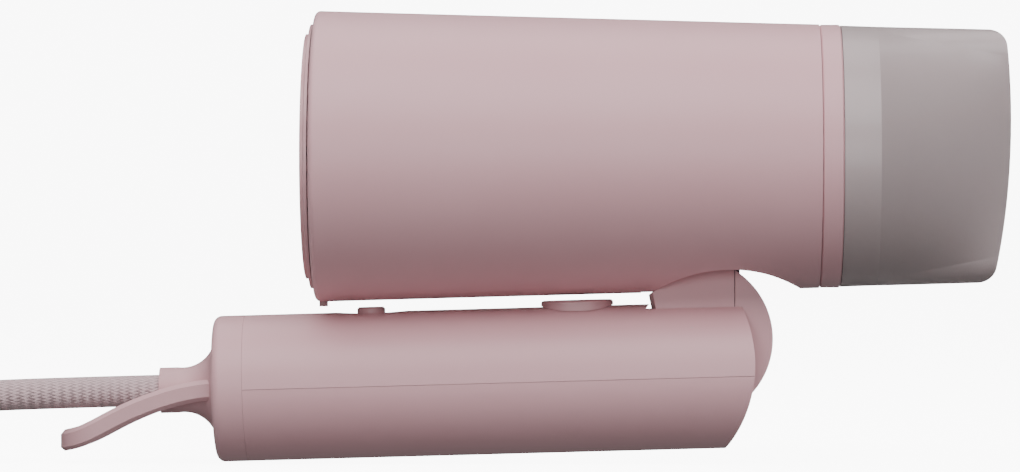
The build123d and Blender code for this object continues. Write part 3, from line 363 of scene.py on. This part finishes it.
coil_height = 0.0012
wires = wound_wire("heater_wire", np.linspace(low[0] + coil_height, high[0] - coil_height, 3), ring_size - coil_height, 0.00095, 0.0002, 64)
tree, shader, coords, blued = finish_on("heater_wire", [], 0.42, Metallic=1.0)
tint = add(tree, "TexNoise", coords, None, 160.0, 4.0)
two_tone(tree, shader, tint, "#6E6670", "#A8957F")
wires.data.materials.append(blued)
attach(wires, "barrel")
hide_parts("heater_coils")

# ---- Button spring: cold-wound spring wire between the cool-shot switch and the button's flange,
# five turns, ends closed. It gives by the button's one millimetre of travel.
tilt = math.radians(1.6)
up = np.array([-math.sin(tilt), 0, math.cos(tilt)])
low, high = [np.array(v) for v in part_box("button_spring")]
spring_middle = (low + high) / 2
spring_wire, spring_radius, spring_turns = 0.00022, 0.0026, 5
spring_long = (high[2] - low[2] - 2 * 0.003 * math.sin(tilt)) / math.cos(tilt)
t = np.linspace(0, 1, spring_turns * 32 + 1)
turned = 2 * np.pi * spring_turns * t
rise = (spring_long - 2 * spring_wire - 0.0001) * (t * t * (3 - 2 * t) * 0.5 + t * 0.5 - 0.5)
along_handle = np.array([math.cos(tilt), 0, math.sin(tilt)])
out = np.cos(turned)[:, None] * along_handle + np.sin(turned)[:, None] * np.array([0, 1.0, 0])
middle = spring_middle + spring_radius * out + rise[:, None] * up
side = np.linspace(0, 2 * np.pi, 8, endpoint=False)
points = middle[:, None] + spring_wire * (np.cos(side)[None, :, None] * out[:, None] + np.sin(side)[None, :, None] * up)
i, j = [g.ravel() for g in np.meshgrid(np.arange(len(t) - 1), np.arange(8), indexing="ij")]
quads = np.stack([i * 8 + j, i * 8 + (j + 1) % 8, (i + 1) * 8 + (j + 1) % 8, (i + 1) * 8 + j], axis=1)
spring_mesh = bpy.data.meshes.new("spring_wire")
last = 8 * (len(t) - 1)
ends = [list(range(8)), list(range(last + 7, last - 1, -1))]
spring_mesh.from_pydata(points.reshape(-1, 3).tolist(), [], quads.tolist() + ends)
spring_mesh.shade_smooth()
spring = bpy.data.objects.new("spring_wire", spring_mesh)
bpy.context.collection.objects.link(spring)
tree, shader, coords, spring_steel = finish_on("spring_steel", [], 0.28, Metallic=1.0)
two_tone(tree, shader, add(tree, "TexNoise", coords, None, 1800.0, 4.0), "#B4B4B2", "#DEDEDC")
spring_mesh.materials.append(spring_steel)
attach(spring, "handle")
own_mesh(spring)
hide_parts("button_spring")

# ---- Filter: fine woven steel gauze held in the rear cover, wires crossing every half millimetre.
tree, shader, coords, _ = finish_on("filter_steel", ["filter_mesh"], 0.4, Metallic=1.0)
yarns = [add(tree, "TexWave", coords, 630.0, wave_type="BANDS", bands_direction=d) for d in ("Y", "Z")]
wires_and_gap_shade = add(tree, "Math", yarns[0], yarns[1], operation="MAXIMUM")
# The wires carry the steel's grey; the near-black between them is painted shade standing in for the gaps.
two_tone(tree, shader, wires_and_gap_shade, "#2B2B2D", "#8F8F92")
relief(tree, shader, wires_and_gap_shade, 0.0001)

# ---- Capacitor and leads: a dipped film capacitor, and PVC leads with the faint spiral of their strands.
tree, shader, coords, _ = finish_on("capacitor_film", ["capacitor"], 0.28, IOR=1.55, Coat_Weight=0.4)
two_tone(tree, shader, add(tree, "TexNoise", coords, None, 260.0, 4.0), "#B98A22", "#CC9E38")
relief(tree, shader, add(tree, "TexNoise", coords, None, 500.0, 2.0), 0.00008)
tree, shader, coords, _ = finish_on("lead_sheath", ["supply_leads"], 0.4, IOR=1.53)
lay = add(tree, "TexWave", coords, 260.0, 1.5, wave_type="BANDS", bands_direction="DIAGONAL")
two_tone(tree, shader, lay, "#35508F", "#466BB0")
relief(tree, shader, lay, 0.00005)
